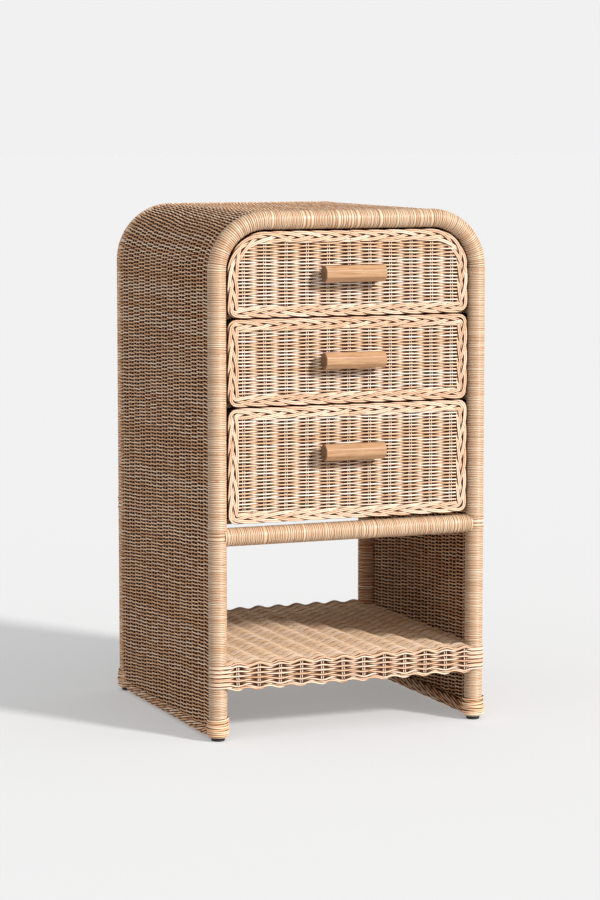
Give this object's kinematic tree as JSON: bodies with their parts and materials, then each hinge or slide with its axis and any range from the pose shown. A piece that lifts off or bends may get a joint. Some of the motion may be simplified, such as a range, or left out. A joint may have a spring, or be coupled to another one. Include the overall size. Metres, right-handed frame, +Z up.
{
  "type": "nightstand",
  "caption": "Woven rattan nightstand with a rounded arch case, drawers on wooden runners and an open woven shelf below.",
  "frame": {"origin": "on the floor, in the middle of the whole piece's width and depth, pulls included", "axes": "+X to the right seen from the front, -Y out of the front where the drawers open, +Z up"},
  "size_m": [0.4346, 0.4426, 0.75],
  "materials": {
    "cane_wrap": "split rattan wound close, satin",
    "rattan_weave": "natural rattan core, woven, matt to satin",
    "rattan_plait": "natural rattan core, plaited, satin",
    "rattan_pole": "peeled rattan pole",
    "pine": "planed softwood",
    "plywood": "birch plywood, sanded",
    "oiled_ash": "planed eight-sided hardwood, oiled",
    "zinc_steel": "zinc-plated steel",
    "black_polypropylene": "moulded black plastic"
  },
  "bodies": {
    "case": {"foot_glides": "black_polypropylene", "frame_screws": "zinc_steel", "front_arch_pole": "rattan_pole", "front_arch_wrap": "cane_wrap", "front_rail_pole": "rattan_pole", "front_rail_wrap": "cane_wrap", "glide_nails": "zinc_steel", "left_bottom_drawer_runner": "pine", "left_drawer_battens": "pine", "left_foot_border": "rattan_plait", "left_foot_stretcher": "rattan_pole", "left_middle_drawer_runner": "pine", "left_top_drawer_runner": "pine", "rear_arch_pole": "rattan_pole", "rear_arch_wrap": "cane_wrap", "rear_rail_pole": "rattan_pole", "rear_rail_wrap": "cane_wrap", "right_bottom_drawer_runner": "pine", "right_drawer_battens": "pine", "right_foot_border": "rattan_plait", "right_foot_stretcher": "rattan_pole", "right_middle_drawer_runner": "pine", "right_top_drawer_runner": "pine", "runner_screws": "zinc_steel", "shelf_front_pole": "rattan_pole", "shelf_rear_pole": "rattan_pole", "shelf_slats": "pine", "shelf_weave": "rattan_weave", "top_battens": "pine", "woven_back": "rattan_weave", "woven_left_side": "rattan_weave", "woven_right_side": "rattan_weave", "woven_top": "rattan_weave"},
    "top_drawer": {"top_drawer_back": "plywood", "top_drawer_bottom": "plywood", "top_drawer_front_board": "plywood", "top_drawer_left_side": "plywood", "top_drawer_plaited_border": "rattan_plait", "top_drawer_pull": "oiled_ash", "top_drawer_pull_screws": "zinc_steel", "top_drawer_right_side": "plywood", "top_drawer_woven_front": "rattan_weave"},
    "middle_drawer": {"middle_drawer_back": "plywood", "middle_drawer_bottom": "plywood", "middle_drawer_front_board": "plywood", "middle_drawer_left_side": "plywood", "middle_drawer_plaited_border": "rattan_plait", "middle_drawer_pull": "oiled_ash", "middle_drawer_pull_screws": "zinc_steel", "middle_drawer_right_side": "plywood", "middle_drawer_woven_front": "rattan_weave"},
    "bottom_drawer": {"bottom_drawer_back": "plywood", "bottom_drawer_bottom": "plywood", "bottom_drawer_front_board": "plywood", "bottom_drawer_left_side": "plywood", "bottom_drawer_plaited_border": "rattan_plait", "bottom_drawer_pull": "oiled_ash", "bottom_drawer_pull_screws": "zinc_steel", "bottom_drawer_right_side": "plywood", "bottom_drawer_woven_front": "rattan_weave"}
  },
  "joints": [
    {"name": "top_drawer_slide", "type": "slide", "parent": "case", "child": "top_drawer", "axis": [0, -1, 0], "range_m": [0, 0.26]},
    {"name": "middle_drawer_slide", "type": "slide", "parent": "case", "child": "middle_drawer", "axis": [0, -1, 0], "range_m": [0, 0.26]},
    {"name": "bottom_drawer_slide", "type": "slide", "parent": "case", "child": "bottom_drawer", "axis": [0, -1, 0], "range_m": [0, 0.26]}
  ]
}
